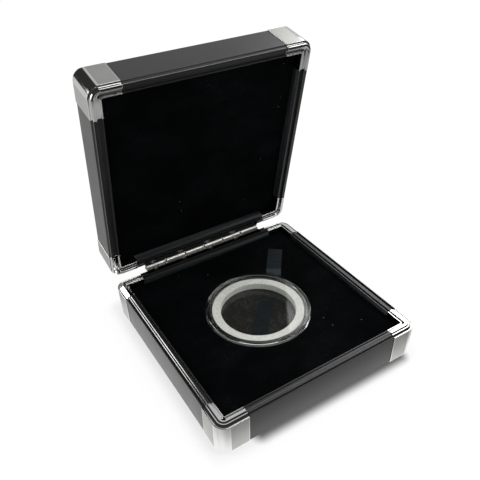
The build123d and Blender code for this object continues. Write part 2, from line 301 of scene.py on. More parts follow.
class CoinCaseSettings(bpy.types.PropertyGroup):
    """Everything that the sidebar shows."""

    frame: PointerProperty(type=FrameSettings)
    pads: PointerProperty(type=PadSettings)
    capsule: PointerProperty(type=CapsuleSettings)
    ribbon: PointerProperty(type=RibbonSettings)
    hinge: PointerProperty(type=HingeSettings)
    finish: PointerProperty(type=FinishSettings)
    stage: PointerProperty(type=StageSettings)


def settings():
    return bpy.context.scene.coin_case


def in_mm(group):
    """A group's values, with its lengths in millimetres, which is what the modelling works in."""
    values = {}
    for prop in group.bl_rna.properties:
        if prop.identifier in ("rna_type", "name"):
            continue
        value = getattr(group, prop.identifier)
        values[prop.identifier] = value / MM if getattr(prop, "unit", "NONE") == "LENGTH" else value
    return SimpleNamespace(**values)


def half_height(half_name):
    """A half's height in millimetres, from its outside to its rim."""
    return BASE_HEIGHT_MM if half_name == "base" else in_mm(settings().frame).lid_height


# ---- Modelling helpers: a bmesh is in millimetres until finish_piece ----
SAME_PLACE_MM = 1e-4
NEAR_MM = 1e-3
LEAST_EDGE_MM = 1e-3
LEAST_RAIL_EDGE_MM = 5e-3
CUT_PAST_MM = 1.0
CREASE_ANGLE = radians(38)


def lid_place(height):
    """The move from the base's place, rim upwards, to the open lid's."""
    to_hinge = Matrix.Translation(HINGE_MM)
    flip = Matrix.Scale(-1, 4, (0, 0, 1))
    opened = Matrix.Rotation(-OPEN_ANGLE, 4, "X")
    rim_to_base_rim = Matrix.Translation((0, 0, BASE_HEIGHT_MM - height))
    return to_hinge @ opened @ flip @ to_hinge.inverted() @ rim_to_base_rim


def half_place(half_name):
    """Where one half's pieces go once they are made rim upwards."""
    if half_name == "base":
        return Matrix.Identity(4)
    return lid_place(in_mm(settings().frame).lid_height)


def faces_of(result):
    return [item for item in result["geom"] if isinstance(item, bmesh.types.BMFace)]


def verts_of(result):
    return [item for item in result["geom"] if isinstance(item, bmesh.types.BMVert)]


def pushed_out(bm, faces, offset):
    """Extrudes faces by an offset and returns the faces at the far end."""
    result = bmesh.ops.extrude_face_region(bm, geom=faces)
    bmesh.ops.translate(bm, vec=offset, verts=verts_of(result))
    return faces_of(result)


def sharp_edges(bm, least_degrees, keep=lambda edge: True):
    """Edges of a solid that turn by at least an angle."""
    return [
        edge
        for edge in bm.edges
        if len(edge.link_faces) == 2
        and edge.calc_face_angle(0) > radians(least_degrees)
        and keep(edge)
    ]


def round_edges(bm, edges, width, segments=3):
    """Rounds edges and returns the new faces."""
    result = bmesh.ops.bevel(
        bm,
        geom=edges,
        offset=width,
        offset_type="OFFSET",
        segments=segments,
        profile=0.5,
        affect="EDGES",
        clamp_overlap=True,
        material=-1,
    )
    return result["faces"]


def box_mesh(low, high):
    """A closed box between two corners."""
    bm = bmesh.new()
    bmesh.ops.create_cube(bm, size=1.0)
    size = Vector(high) - Vector(low)
    bmesh.ops.scale(bm, vec=size, verts=bm.verts)
    bmesh.ops.translate(bm, vec=Vector(low) + size / 2, verts=bm.verts)
    return bm


def rod_mesh(radius, start, end, end_radius=None, segments=48):
    """A closed round rod between two points, tapered where an end radius is given."""
    along = Vector(end) - Vector(start)
    bm = bmesh.new()
    bmesh.ops.create_cone(
        bm,
        cap_ends=True,
        segments=segments,
        radius1=radius,
        radius2=end_radius or radius,
        depth=along.length,
    )
    turn = Vector((0, 0, 1)).rotation_difference(along).to_matrix().to_4x4()
    bm.transform(Matrix.Translation((Vector(start) + Vector(end)) / 2) @ turn)
    return bm


def turned_mesh(points, steps=128):
    """A solid turned about Z from (radius, height) points; it may start and end on the axis."""
    bm = bmesh.new()
    verts = [bm.verts.new((radius, 0, height)) for radius, height in points]
    edges = [bm.edges.new(pair) for pair in zip(verts, verts[1:])]
    if points[0][0] > 0:
        edges.append(bm.edges.new((verts[-1], verts[0])))
    bmesh.ops.spin(
        bm,
        geom=verts + edges,
        cent=(0, 0, 0),
        axis=(0, 0, 1),
        angle=2 * pi,
        steps=steps,
        use_merge=True,
    )
    bmesh.ops.remove_doubles(bm, verts=bm.verts, dist=SAME_PLACE_MM)
    bmesh.ops.recalc_face_normals(bm, faces=bm.faces)
    return bm


def combined(bm, tool, operation):
    """One closed bmesh joined to (UNION) or cut by (DIFFERENCE) another; both are used up."""
    holders = []
    for name, part in (("stock", bm), ("tool", tool)):
        mesh = bpy.data.meshes.new(name)
        part.to_mesh(mesh)
        part.free()
        holder = bpy.data.objects.new(name, mesh)
        bpy.context.scene.collection.objects.link(holder)
        holders.append(holder)
    stock, cutter = holders
    modifier = stock.modifiers.new("combine", "BOOLEAN")
    modifier.operation = operation
    modifier.solver = "EXACT"
    modifier.object = cutter
    depsgraph = bpy.context.evaluated_depsgraph_get()
    result = bmesh.new()
    result.from_object(stock, depsgraph)
    for holder in holders:
        mesh = holder.data
        bpy.data.objects.remove(holder)
        bpy.data.meshes.remove(mesh)
    bmesh.ops.remove_doubles(result, verts=result.verts, dist=SAME_PLACE_MM)
    return result


def finish_piece(bm, node, body, materials, place=None):
    """Makes the finished piece that stands for a node, from a bmesh in millimetres."""
    bmesh.ops.dissolve_degenerate(bm, dist=LEAST_EDGE_MM, edges=bm.edges)
    if "own_place" not in bm.verts.layers.float_vector:
        own_place = bm.verts.layers.float_vector.new("own_place")
        for vert in bm.verts:
            vert[own_place] = vert.co * MM
    for face in bm.faces:
        face.smooth = True
    for edge in bm.edges:
        edge.smooth = len(edge.link_faces) == 2 and edge.calc_face_angle(0) < CREASE_ANGLE
    if place is not None:
        bm.transform(place)
        if place.determinant() < 0:
            bmesh.ops.reverse_faces(bm, faces=bm.faces)
    bm.transform(Matrix.Scale(MM, 4))
    name = f"{node}.look"
    mesh = bpy.data.meshes.new(name)
    bm.to_mesh(mesh)
    bm.free()
    piece = bpy.data.objects.new(name, mesh)
    bpy.context.scene.collection.objects.link(piece)
    for material in materials:
        mesh.materials.append(material)
    normals = piece.modifiers.new("even_normals", "WEIGHTED_NORMAL")
    normals.keep_sharp = True
    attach(piece, body)
    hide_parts(node)
    return piece


def level(edge):
    """True for an edge that runs level."""
    return abs(edge.verts[0].co.z - edge.verts[1].co.z) < SAME_PLACE_MM


def lengthwise(edge):
    """True for an edge that runs along X."""
    return abs((edge.verts[0].co - edge.verts[1].co).normalized().x) > 0.99


# ---- Finishes ----
class NodeBuilder:
    """Adds and links the nodes of one material or world."""

    def __init__(self, tree):
        self.tree = tree

    def put(self, socket, value):
        """Links an output to a socket, or sets the socket to a number, a vector or a colour."""
        if isinstance(value, bpy.types.NodeSocket):
            self.tree.links.new(value, socket)
        elif socket.type == "RGBA" and len(value) == 3:
            socket.default_value = (*value, 1.0)
        else:
            socket.default_value = value

    def set(self, node, values):
        for socket, value in values.items():
            self.put(node.inputs[socket.replace("_", " ")], value)

    def node(self, kind, output=0, properties=None, **values):
        """Adds a node and returns one of its outputs."""
        node = self.tree.nodes.new(f"ShaderNode{kind}")
        for key, value in (properties or {}).items():
            setattr(node, key, value)
        self.set(node, values)
        return node.outputs[output]

    def math(self, operation, first, second=0.0):
        node = self.tree.nodes.new("ShaderNodeMath")
        node.operation = operation
        for socket, value in zip(node.inputs, (first, second)):
            self.put(socket, value)
        return node.outputs[0]

    def ramp(self, factor, low, high, low_value=0.0, high_value=1.0, kind="LINEAR"):
        """Stretches a factor's range from low to high onto two values."""
        return self.node(
            "MapRange",
            properties={"clamp": True, "interpolation_type": kind},
            Value=factor,
            From_Min=low,
            From_Max=high,
            To_Min=low_value,
            To_Max=high_value,
        )

    def blend(self, factor, first, second):
        """Mixes two colours."""
        mix = self.tree.nodes.new("ShaderNodeMix")
        mix.data_type = "RGBA"
        for index, value in zip((0, 6, 7), (factor, first, second)):
            self.put(mix.inputs[index], value)
        return mix.outputs[2]


class Finish(NodeBuilder):
    """One material, built round its Principled shader."""

    def __init__(self, name, **values):
        self.material = bpy.data.materials.new(name)
        self.material.use_nodes = True
        super().__init__(self.material.node_tree)
        self.shader = self.tree.nodes["Principled BSDF"]
        self.set(self.shader, values)

    def made(self, **values):
        """Sets what varies over the surface and returns the material."""
        self.set(self.shader, values)
        return self.material

    def own_place(self, scale=(1, 1, 1)):
        """The piece's own coordinates in metres, from before it was put in place."""
        return self.node("Mapping", Vector=self.attribute("own_place", "Vector"), Scale=scale)

    def attribute(self, name, output="Fac"):
        return self.node("Attribute", output=output, properties={"attribute_name": name})

    def noise(self, scale, drawn=(1, 1, 1), detail=4.0, place=None):
        """Noise by scale per metre, drawn out along the axes whose number is under 1."""
        place = place or self.own_place(drawn)
        return self.node("TexNoise", Vector=place, Scale=scale, Detail=detail, Roughness=0.55)

    def cells(self, scale, feature="F1"):
        """Distance to the middle of the nearest cell."""
        return self.node(
            "TexVoronoi",
            output="Distance",
            properties={"feature": feature},
            Vector=self.own_place(),
            Scale=scale,
        )

    def bump(self, height, strength, distance_mm):
        return self.node("Bump", Height=height, Strength=strength, Distance=distance_mm * MM)


def finish_of(name, make):
    """A material by name, made the first time it is asked for."""
    return bpy.data.materials.get(name) or make(name, settings().finish)


def times(share_left, tone):
    """A colour made darker or lighter."""
    return [share_left * part for part in tone]


def rail_finish(name, colours):
    """Satin black anodised extrusion with faint die lines along it.

    Rubbed edges show bare metal. The wall over the velvet is duller, with fine dark lines, and its
    colour is painted lighter to stand in for reflected light.
    """
    finish = Finish(name, IOR=1.55)
    die_lines = finish.noise(3.0, (30, 1, 1))
    drawn = finish.noise(9000, (0.02, 1, 1), detail=3.0)
    cloud = finish.noise(160, detail=5.0)
    shaded = finish.attribute("shaded")
    rubbed = finish.ramp(finish.noise(260, (0.3, 1, 1)), 0.35, 0.65, 0.62, 0.80)
    worn = finish.math("MULTIPLY", finish.attribute("edge"), rubbed)
    tone = finish.blend(cloud, colours.rail_black, times(1.5, colours.rail_black))
    lines = finish.ramp(finish.noise(1900, (0.005, 1, 1), detail=1.0), 0.47, 0.59)
    # Painted light: the wall over the velvet takes the lighter colour, crossed by fine dark lines.
    inside = finish.blend(lines, times(0.15, colours.rail_inside), colours.rail_inside)
    tone = finish.blend(shaded, tone, inside)
    satin = finish.ramp(finish.math("ADD", cloud, die_lines), 0.6, 1.4, 0.27, 0.36)
    dulled = finish.math("ADD", satin, finish.math("MULTIPLY", shaded, 0.2))
    return finish.made(
        Base_Color=finish.blend(worn, tone, times(0.75, colours.bare_metal)),
        Metallic=worn,
        Roughness=finish.math("SUBTRACT", dulled, finish.math("MULTIPLY", worn, 0.24)),
        Normal=finish.bump(drawn, 0.10, 0.02),
    )


def satin_corner_finish(name, colours):
    """Satin plated face: very fine upright brushing."""
    finish = Finish(name, Metallic=1.0)
    brushed = finish.noise(8000, (1, 1, 0.03), detail=3.0)
    cloud = finish.noise(220)
    return finish.made(
        Base_Color=finish.blend(cloud, colours.satin_metal, times(0.88, colours.satin_metal)),
        Roughness=finish.ramp(finish.math("ADD", brushed, cloud), 0.6, 1.4, 0.30, 0.42),
        Normal=finish.bump(brushed, 0.12, 0.02),
    )


def polished_corner_finish(name, colours):
    """Bright plating with hairline wipe marks."""
    finish = Finish(name, Metallic=1.0)
    wipe = finish.noise(2600, (1, 0.15, 1), detail=3.0)
    cloud = finish.noise(300)
    return finish.made(
        Base_Color=finish.blend(cloud, colours.polished_metal, times(0.93, colours.polished_metal)),
        Roughness=finish.ramp(finish.math("ADD", cloud, wipe), 0.6, 1.4, 0.03, 0.08),
        Normal=finish.bump(cloud, 0.02, 0.01),
    )


def velvet_finish(name, colours):
    """Black velvet: short nap, painted sheen where the nap leans in brushed patches, and lint in a
    few large and many fine specks.
    """
    finish = Finish(
        name, Roughness=0.9, Specular_IOR_Level=0.03, Sheen_Weight=0.015, Sheen_Roughness=0.35
    )
    nap = finish.noise(5200, detail=2.0)
    brushed = finish.ramp(finish.noise(55, (1, 1.6, 1), detail=5.0), 0.42, 0.72)
    # Painted sheen where the nap leans in the brushed patches.
    painted_nap_sheen = finish.math("MULTIPLY", nap, brushed)
    tone = finish.blend(painted_nap_sheen, colours.velvet_black, colours.nap_light)
    patch = finish.ramp(finish.noise(40, detail=1.0), 0.46, 0.56)
    large = finish.math("MULTIPLY", finish.ramp(finish.cells(140.0), 0.032, 0.020), patch)
    fine_share = finish.ramp(brushed, 0.2, 1.0, 0.01, 0.06)
    fine = finish.math("MULTIPLY", finish.ramp(finish.cells(620.0), 0.22, 0.10), fine_share)
    specks = finish.math("MAXIMUM", large, fine)
    return finish.made(
        Base_Color=finish.blend(specks, tone, colours.lint), Normal=finish.bump(nap, 0.6, 0.12)
    )


def recess_cloth_finish(name, colours):
    """The cloth at the bottom of the recess."""
    finish = Finish(
        name, Roughness=0.95, Specular_IOR_Level=0.1, Sheen_Weight=0.1, Sheen_Roughness=0.4
    )
    nap = finish.ramp(finish.noise(1100), 0.44, 0.60)
    cloud = finish.ramp(finish.noise(200), 0.38, 0.62, 0.15, 1.0)
    light = finish.math("MULTIPLY", nap, cloud)
    return finish.made(
        Base_Color=finish.blend(light, times(0.30, colours.recess_cloth), colours.recess_cloth),
        Normal=finish.bump(nap, 0.5, 0.1),
    )


def ribbon_finish(name, colours):
    """Dark ribbon woven with fine ribs, and lighter at its bend, a painted highlight on the crease.
    X runs along it.
    """
    finish = Finish(
        name, Roughness=0.75, Specular_IOR_Level=0.15, Sheen_Weight=0.03, Sheen_Roughness=0.35
    )
    ribs = finish.node(
        "TexWave",
        properties={"wave_type": "BANDS", "bands_direction": "X", "wave_profile": "SIN"},
        Vector=finish.own_place(),
        Scale=290.0,
        Distortion=5.0,
        Detail=3.0,
    )
    weave = finish.math("MULTIPLY", ribs, finish.noise(5200, (0.25, 1, 1), detail=2.0))
    rubbed = finish.ramp(finish.noise(300, detail=3.0), 0.55, 0.75, 0.0, 0.5)
    tone = finish.blend(
        finish.ramp(weave, 0.15, 0.45), colours.ribbon_dark, colours.ribbon_light
    )
    tone = finish.blend(rubbed, tone, colours.ribbon_light)
    ribbon = settings().ribbon
    along = finish.node("SeparateXYZ", output="X", Vector=finish.own_place())
    from_bend = finish.math("ABSOLUTE", finish.math("SUBTRACT", along, ribbon.bend_middle))
    bent = finish.ramp(from_bend, ribbon.bend_reach, 0.4 * ribbon.bend_reach)
    broken = finish.ramp(finish.noise(1300), 0.35, 0.65, 0.1, 1.0)
    # Painted highlight on the crease at the bend, broken up by noise.
    highlighted = finish.math("MULTIPLY", bent, broken)
    return finish.made(
        Base_Color=finish.blend(highlighted, tone, colours.ribbon_crease),
        Normal=finish.bump(weave, 0.5, 0.06),
    )


def capsule_finish(name, colours):
    """Clear moulded plastic with faint wipe marks."""
    finish = Finish(name, Transmission_Weight=1.0, IOR=1.49, Base_Color=colours.clear_plastic)
    wipe = finish.noise(900, (1, 0.2, 1))
    return finish.made(Roughness=finish.ramp(wipe, 0.45, 0.75, 0.0, 0.05))


def foam_finish(name, colours):
    """White closed-cell foam, cut clean."""
    finish = Finish(
        name,
        Roughness=0.8,
        Specular_IOR_Level=0.25,
        Subsurface_Weight=0.15,
        Subsurface_Scale=0.4 * MM,
    )
    cloud = finish.ramp(finish.noise(1100), 0.38, 0.68)
    return finish.made(
        Base_Color=finish.blend(cloud, colours.foam_white, times(0.78, colours.foam_white)),
        Normal=finish.bump(finish.cells(4200.0), 0.35, 0.05),
    )


def nickel_finish(name, colours):
    """Nickel plate with brighter knuckles drawn along the hinge; the leaves' plates are painted
    near black, a painted reflection of the dark velvet they face.
    """
    hinge = settings().hinge
    finish = Finish(name, Metallic=1.0)
    across = finish.node("SeparateXYZ", output="Y", Vector=finish.own_place())
    barrel_start = HINGE_MM.y * MM - hinge.barrel_radius - hinge.barrel_clearance
    on_barrel = finish.ramp(across, barrel_start, barrel_start + hinge.barrel_clearance)
    drawn = finish.noise(6000, (0.05, 1, 1), detail=3.0)
    cloud = finish.noise(420)
    knuckle = finish.blend(
        finish.ramp(cloud, 0.4, 0.75), colours.nickel, times(0.72, colours.nickel)
    )
    satin = finish.ramp(finish.math("ADD", drawn, cloud), 0.6, 1.4, 0.30, 0.38)
    return finish.made(
        # Painted reflection: the plates take 6 per cent of the nickel's colour, for the dark velvet
        # they mirror; the knuckles keep it.
        Base_Color=finish.blend(on_barrel, times(0.06, colours.nickel), knuckle),
        Roughness=finish.math("ADD", 0.05, finish.math("MULTIPLY", on_barrel, satin)),
        Normal=finish.bump(drawn, 0.04, 0.01),
    )


def screw_finish(name, colours):
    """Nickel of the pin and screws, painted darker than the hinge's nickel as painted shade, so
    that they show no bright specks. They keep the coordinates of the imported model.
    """
    finish = Finish(name, Metallic=1.0)
    cloud = finish.noise(1200, place=finish.node("TexCoord", output="Object"))
    dark = finish.ramp(cloud, 0.35, 0.7)
    return finish.made(
        # Painted shade: a half and three tenths of the nickel's colour.
        Base_Color=finish.blend(dark, times(0.5, colours.nickel), times(0.3, colours.nickel)),
        Roughness=finish.ramp(cloud, 0.3, 0.7, 0.18, 0.34),
    )


def board_finish(name, colours):
    """Black film with a fine pebbled grain."""
    finish = Finish(name, Specular_IOR_Level=0.45)
    fine = finish.math("MULTIPLY", finish.noise(3000, detail=3.0), 0.4)
    grain = finish.math("ADD", finish.cells(1500.0, feature="SMOOTH_F1"), fine)
    return finish.made(
        Base_Color=finish.blend(
            finish.noise(60), colours.board_black, times(1.8, colours.board_black)
        ),
        Roughness=finish.ramp(grain, 0.2, 1.0, 0.42, 0.58),
        Normal=finish.bump(grain, 0.6, 0.10),
    )


# ---- Rails and corners ----
FACING = 0.9
SQUARELY_FACING = 0.999
SLOPE_FACING_UP = (0.65, 0.75)
ROUNDING_FACING_UP = (0.25, 0.97)
INSIDE_WITHIN_MM = 0.01
CORNER_STEPS = 16


def arc(centre, radius, first_degrees, last_degrees, steps=4):
    """Points round an arc."""
    pitch = (last_degrees - first_degrees) / steps
    turns = [radians(first_degrees + pitch * step) for step in range(steps + 1)]
    return [(centre[0] + radius * cos(turn), centre[1] + radius * sin(turn)) for turn in turns]


def base_rim(sizes, top, outer):
    """The base's rim from the velvet outwards: lip, groove, tongue, step, gutter and shoulder.

    Only a corner starts outside the case's side, so a negative start calls for the corners' sizes.
    """
    lip_start = sizes.rail_width - sizes.base_lip_width
    groove_end = lip_start - sizes.base_groove_drop + sizes.base_lip_drop
    part = "base_corner" if outer < 0 else "base_rail"
    shoulder = top - getattr(sizes, f"{part}_shoulder")
    shoulder_end = outer + sizes.base_shoulder_width
    tongue_start = getattr(sizes, f"{part}_tongue")
    step_drop = getattr(sizes, f"{part}_step")
    step_start = getattr(sizes, f"{part}_step_start")
    step = top - step_drop
    gutter = step - sizes.base_gutter_slope
    return [
        (sizes.rail_width, top - sizes.base_lip_drop),
        (lip_start, top - sizes.base_lip_drop),
        (groove_end, top - sizes.base_groove_drop),
        (sizes.base_tongue_end, top - sizes.base_groove_drop),
        (sizes.base_tongue_end, top),
        (tongue_start, top),
        (tongue_start - step_drop, step),
        (step_start, step),
        (step_start - sizes.worn_drop, step - sizes.worn_drop),
        (step_start - sizes.base_gutter_slope, gutter),
        (shoulder_end, gutter),
        (shoulder_end, shoulder),
        (outer, shoulder),
    ]


def lid_rim(sizes, top, outer):
    """The lid's rim from the velvet outwards: lip, the groove for the tongue, rim and shoulder."""
    lip_start = sizes.rail_width - sizes.lid_lip_width
    shoulder = top - sizes.lid_shoulder_drop
    hollow_centre = (sizes.lid_land_start - sizes.lid_fillet, shoulder + sizes.lid_fillet)
    return [
        (sizes.rail_width, top - sizes.lid_lip_drop),
        (lip_start, top - sizes.lid_lip_drop),
        (lip_start, top - sizes.lid_groove_drop),
        (sizes.lid_land_end, top - sizes.lid_groove_drop),
        (sizes.lid_land_end, top),
        (sizes.lid_land_start, top),
        *arc(hollow_centre, sizes.lid_fillet, 0, -90),
        (outer, shoulder),
    ]


def frame_section(half_name, top, outer):
    """The section of a rail or corner from the outside bottom round, as (inward, up) points."""
    sizes = in_mm(settings().frame)
    rim = {"base": base_rim, "lid": lid_rim}[half_name]
    slot_top = sizes.panel_lip + sizes.slot_height
    return [
        (outer, 0),
        (sizes.rail_width, 0),
        (sizes.rail_width, sizes.panel_lip),
        (sizes.rail_wall, sizes.panel_lip),
        (sizes.rail_wall, slot_top),
        (sizes.rail_width, slot_top),
        *rim(sizes, top, outer),
    ]


def mark_faces(bm, rounded, least_height, inside):
    """Marks the faces that the rails' finish treats apart.

    Slopes above a height and rounded edges are rubbed bare, and the wall over the velvet is marked
    for a duller finish with painted light.
    """
    edge = bm.faces.layers.float.new("edge")
    shaded = bm.faces.layers.float.new("shaded")
    for face in bm.faces:
        middle = face.calc_center_median()
        facing_up = face.normal.z
        slope = SLOPE_FACING_UP[0] < facing_up < SLOPE_FACING_UP[1] and middle.z > least_height
        rounding = face in rounded and ROUNDING_FACING_UP[0] < facing_up < ROUNDING_FACING_UP[1]
        if slope or rounding:
            face[edge] = 1.0
        # The wall over the velvet is marked for painted light.
        if face.normal.y > FACING and middle.y > inside - INSIDE_WITHIN_MM:
            face[shaded] = 1.0


def rail_mesh(half_name, run_length, cutter=None):
    """A rail along X, its outer face on Y = 0 and its inside towards +Y."""
    sizes = in_mm(settings().frame)
    top = half_height(half_name) - sizes.rail_sink
    bm = bmesh.new()
    section = frame_section(half_name, top, 0)
    end = bm.faces.new([bm.verts.new((-run_length / 2, inward, up)) for inward, up in section])
    pushed_out(bm, [end], (run_length, 0, 0))
    bmesh.ops.recalc_face_normals(bm, faces=bm.faces)
    if cutter is not None:
        bm = combined(bm, cutter, "DIFFERENCE")

    def outermost(edge):
        return lengthwise(edge) and max(vert.co.y for vert in edge.verts) < NEAR_MM

    def on_rim(edge):
        return lengthwise(edge) and min(vert.co.z for vert in edge.verts) > top / 2

    rounded = round_edges(bm, sharp_edges(bm, 50, outermost), sizes.outer_edge, 4)
    round_edges(bm, sharp_edges(bm, 40, on_rim), getattr(sizes, f"{half_name}_rail_edge"))
    rounded = {face for face in rounded if face.is_valid}
    mark_faces(bm, rounded, top - sizes.base_rail_step - sizes.worn_drop, sizes.rail_width)
    bmesh.ops.dissolve_degenerate(bm, dist=LEAST_RAIL_EDGE_MM, edges=bm.edges)
    return bm


def rear_cutter(half_name):
    """What is milled out of a rear rail for the hinge leaf, in the rail's own place."""
    hinge = in_mm(settings().hinge)
    height = half_height(half_name)
    reach = LEAF_BOX[1].x / MM + hinge.barrel_clearance
    inner_side = CASE_HALF_MM - LEAF_BOX[0].y / MM
    low = (-reach, -CUT_PAST_MM, height - hinge.leaf_thickness)
    return box_mesh(low, (reach, inner_side, height + CUT_PAST_MM))


def side_place(turn):
    """Where a side's rail goes, made with its outer face on Y = 0."""
    return Matrix.Rotation(radians(turn), 4, "Z") @ Matrix.Translation((0, -CASE_HALF_MM, 0))


def make_rails():
    run_length = 2 * (CASE_HALF_MM - CORNER_LEG_MM - in_mm(settings().frame).rail_gap)
    finish = finish_of("satin_black_rail", rail_finish)
    for half_name in ("base", "lid"):
        for side, turn in LONG_SIDES.items():
            cutter = rear_cutter(half_name) if side == "rear" else None
            finish_piece(
                rail_mesh(half_name, run_length, cutter),
                f"{half_name}_{side}_rail",
                half_name,
                [finish],
                half_place(half_name) @ side_place(turn),
            )


def corner_turn(inset, share_round, least_radius, round_middle):
    """Where a line at an inset is on its way round the corner.

    It goes from the first leg, at a share of 0, to the second, at a share of 1.
    """
    radius = max(round_middle - inset, least_radius)
    turn = share_round * pi / 2
    return inset + radius * (1 - sin(turn)), inset + radius * (1 - cos(turn))


def corner_mesh(half_name):
    """A corner with its rails' outer faces on X = 0 and Y = 0, its legs towards +X and +Y."""
    sizes = in_mm(settings().frame)
    height = half_height(half_name)
    round_middle = sizes.corner_radius - sizes.corner_proud
    section = frame_section(half_name, height, -sizes.corner_proud)
    bm = bmesh.new()
    inset_of = bm.verts.layers.float.new("inset")
    first_end = [bm.verts.new((CORNER_LEG_MM, inward, up)) for inward, up in section]
    for vert in first_end:
        vert[inset_of] = vert.co.y
    edges = [bm.edges.new(pair) for pair in zip(first_end, [*first_end[1:], first_end[0]])]
    bm.faces.new(first_end)
    for step in range(CORNER_STEPS + 2):
        result = bmesh.ops.extrude_edge_only(bm, edges=edges)
        moved = set(verts_of(result))
        for vert in moved:
            if step <= CORNER_STEPS:
                vert.co.x, vert.co.y = corner_turn(
                    vert[inset_of], step / CORNER_STEPS, sizes.least_radius, round_middle
                )
            else:
                vert.co.y = CORNER_LEG_MM
        new_edges = [item for item in result["geom"] if isinstance(item, bmesh.types.BMEdge)]
        edges = [edge for edge in new_edges if moved.issuperset(edge.verts)]
    bmesh.ops.contextual_create(bm, geom=edges)
    bmesh.ops.remove_doubles(bm, verts=bm.verts, dist=SAME_PLACE_MM)
    bmesh.ops.recalc_face_normals(bm, faces=bm.faces)

    def outermost(edge):
        return all(min(vert.co.x, vert.co.y) < -NEAR_MM for vert in edge.verts)

    def on_rim(edge):
        return max(vert.co.z for vert in edge.verts) > height / 2

    round_edges(bm, sharp_edges(bm, 50, outermost), sizes.outer_edge, 4)
    round_edges(bm, sharp_edges(bm, 50, on_rim), sizes.corner_edge)
    flats = [
        face
        for face in bm.faces
        if face.calc_area() > height and min(face.normal.x, face.normal.y) < -SQUARELY_FACING
    ]
    bmesh.ops.inset_individual(bm, faces=flats, thickness=sizes.satin_border)
    for face in flats:
        face.material_index = 1
    return bm


def corner_place(turn):
    """Where a corner goes, made with its outer faces on X = 0 and Y = 0."""
    to_corner = Matrix.Translation((-CASE_HALF_MM, -CASE_HALF_MM, 0))
    return Matrix.Rotation(radians(turn), 4, "Z") @ to_corner


def make_corners():
    finishes = [
        finish_of("polished_corner", polished_corner_finish),
        finish_of("satin_corner", satin_corner_finish),
    ]
    for half_name in ("base", "lid"):
        for name, turn in CORNER_TURNS.items():
            finish_piece(
                corner_mesh(half_name),
                f"{half_name}_corner_{name}",
                half_name,
                finishes,
                half_place(half_name) @ corner_place(turn),
            )


# ---- Boards and pads ----
def board_mesh():
    """A board, its edge in the slots and its middle flush with the frame's outside."""
    frame_sizes = in_mm(settings().frame)
    pads = in_mm(settings().pads)
    edge_half = PANEL_BOX[1].x / MM
    middle_half = CASE_HALF_MM - frame_sizes.rail_width - pads.panel_clearance
    top = PANEL_BOX[1].z / MM
    bm = box_mesh((-edge_half, -edge_half, frame_sizes.panel_lip), (edge_half, edge_half, top))
    under = [face for face in bm.faces if face.normal.z < -FACING]
    bmesh.ops.inset_individual(bm, faces=under, thickness=edge_half - middle_half)
    middle = pushed_out(bm, under, (0, 0, -frame_sizes.panel_lip))
    bmesh.ops.delete(bm, geom=under, context="FACES_ONLY")
    round_edges(bm, [edge for face in middle for edge in face.edges], pads.panel_edge)
    return bm


def make_boards():
    for half_name in ("base", "lid"):
        finish_piece(
            board_mesh(),
            f"{half_name}_panel",
            half_name,
            [finish_of("pebbled_board", board_finish)],
            half_place(half_name),
        )


def sliced(bm, half, spacing):
    """Cuts a pad's faces with a grid of upright planes, so that its top can bend."""
    count = int(2 * half / spacing)
    for index in range(1, count):
        offset = -half + index * 2 * half / count
        for axis in (Vector((1, 0, 0)), Vector((0, 1, 0))):
            bmesh.ops.bisect_plane(
                bm,
                geom=[*bm.verts, *bm.edges, *bm.faces],
                dist=SAME_PLACE_MM,
                plane_co=axis * offset,
                plane_no=axis,
            )


def stretched(bm, half, top, recess_radius):
    """Pulls the velvet down towards the rails and the recess, where it is glued over an edge."""
    pads = in_mm(settings().pads)
    for vert in bm.verts:
        if vert.co.z < top - 2 * pads.nap_round:
            continue
        from_rail = half - max(abs(vert.co.x), abs(vert.co.y))
        from_recess = vert.co.xy.length - recess_radius if recess_radius else from_rail
        near = max(0.0, 1 - min(from_rail, from_recess) / pads.pull_reach)
        vert.co.z -= pads.pull_depth * near**2


def pad_mesh(bottom, top, recess_radius=None):
    """A velvet pad: a rounded square, with a round recess through it where a radius is given."""
    pads = in_mm(settings().pads)
    frame_sizes = in_mm(settings().frame)
    half = CASE_HALF_MM - frame_sizes.rail_width - pads.pad_clearance
    bm = box_mesh((-half, -half, bottom), (half, half, top))
    uprights = [edge for edge in bm.edges if not level(edge)]
    round_edges(bm, uprights, pads.pad_corner, 6)
    if recess_radius:
        drill_end = Vector((0, 0, top + CUT_PAST_MM))
        drill = rod_mesh(recess_radius, (0, 0, bottom - CUT_PAST_MM), drill_end, segments=160)
        bm = combined(bm, drill, "DIFFERENCE")

    def on_top(edge):
        return level(edge) and edge.verts[0].co.z > top - NEAR_MM

    round_edges(bm, sharp_edges(bm, 50, on_top), pads.nap_round, 5)
    sliced(bm, half, pads.slice_spacing)
    stretched(bm, half, top, recess_radius)
    return bm


def make_pads():
    pads = in_mm(settings().pads)
    velvet = finish_of("black_velvet", velvet_finish)
    cloth = finish_of("recess_cloth", recess_cloth_finish)
    lid_pad_top = half_height("lid") - pads.lid_pad_drop
    for node, half_name, bottom, top, recess_radius, finish in (
        ("base_pad", "base", PAD_BOX[0].z / MM, PAD_BOX[1].z / MM, pads.recess_radius, velvet),
        ("base_pad_floor", "base", PAD_FLOOR_BOX[0].z / MM, PAD_FLOOR_BOX[1].z / MM, None, cloth),
        ("lid_pad", "lid", PANEL_BOX[1].z / MM, lid_pad_top, None, velvet),
    ):
        bm = pad_mesh(bottom, top, recess_radius)
        piece = finish_piece(bm, node, half_name, [finish], half_place(half_name))


# ---- Lifting ribbon ----
RECESS_PLAY_MM = 0.5
RIBBON_CROWN_MM = 0.06
RIBBON_STEPS = 10

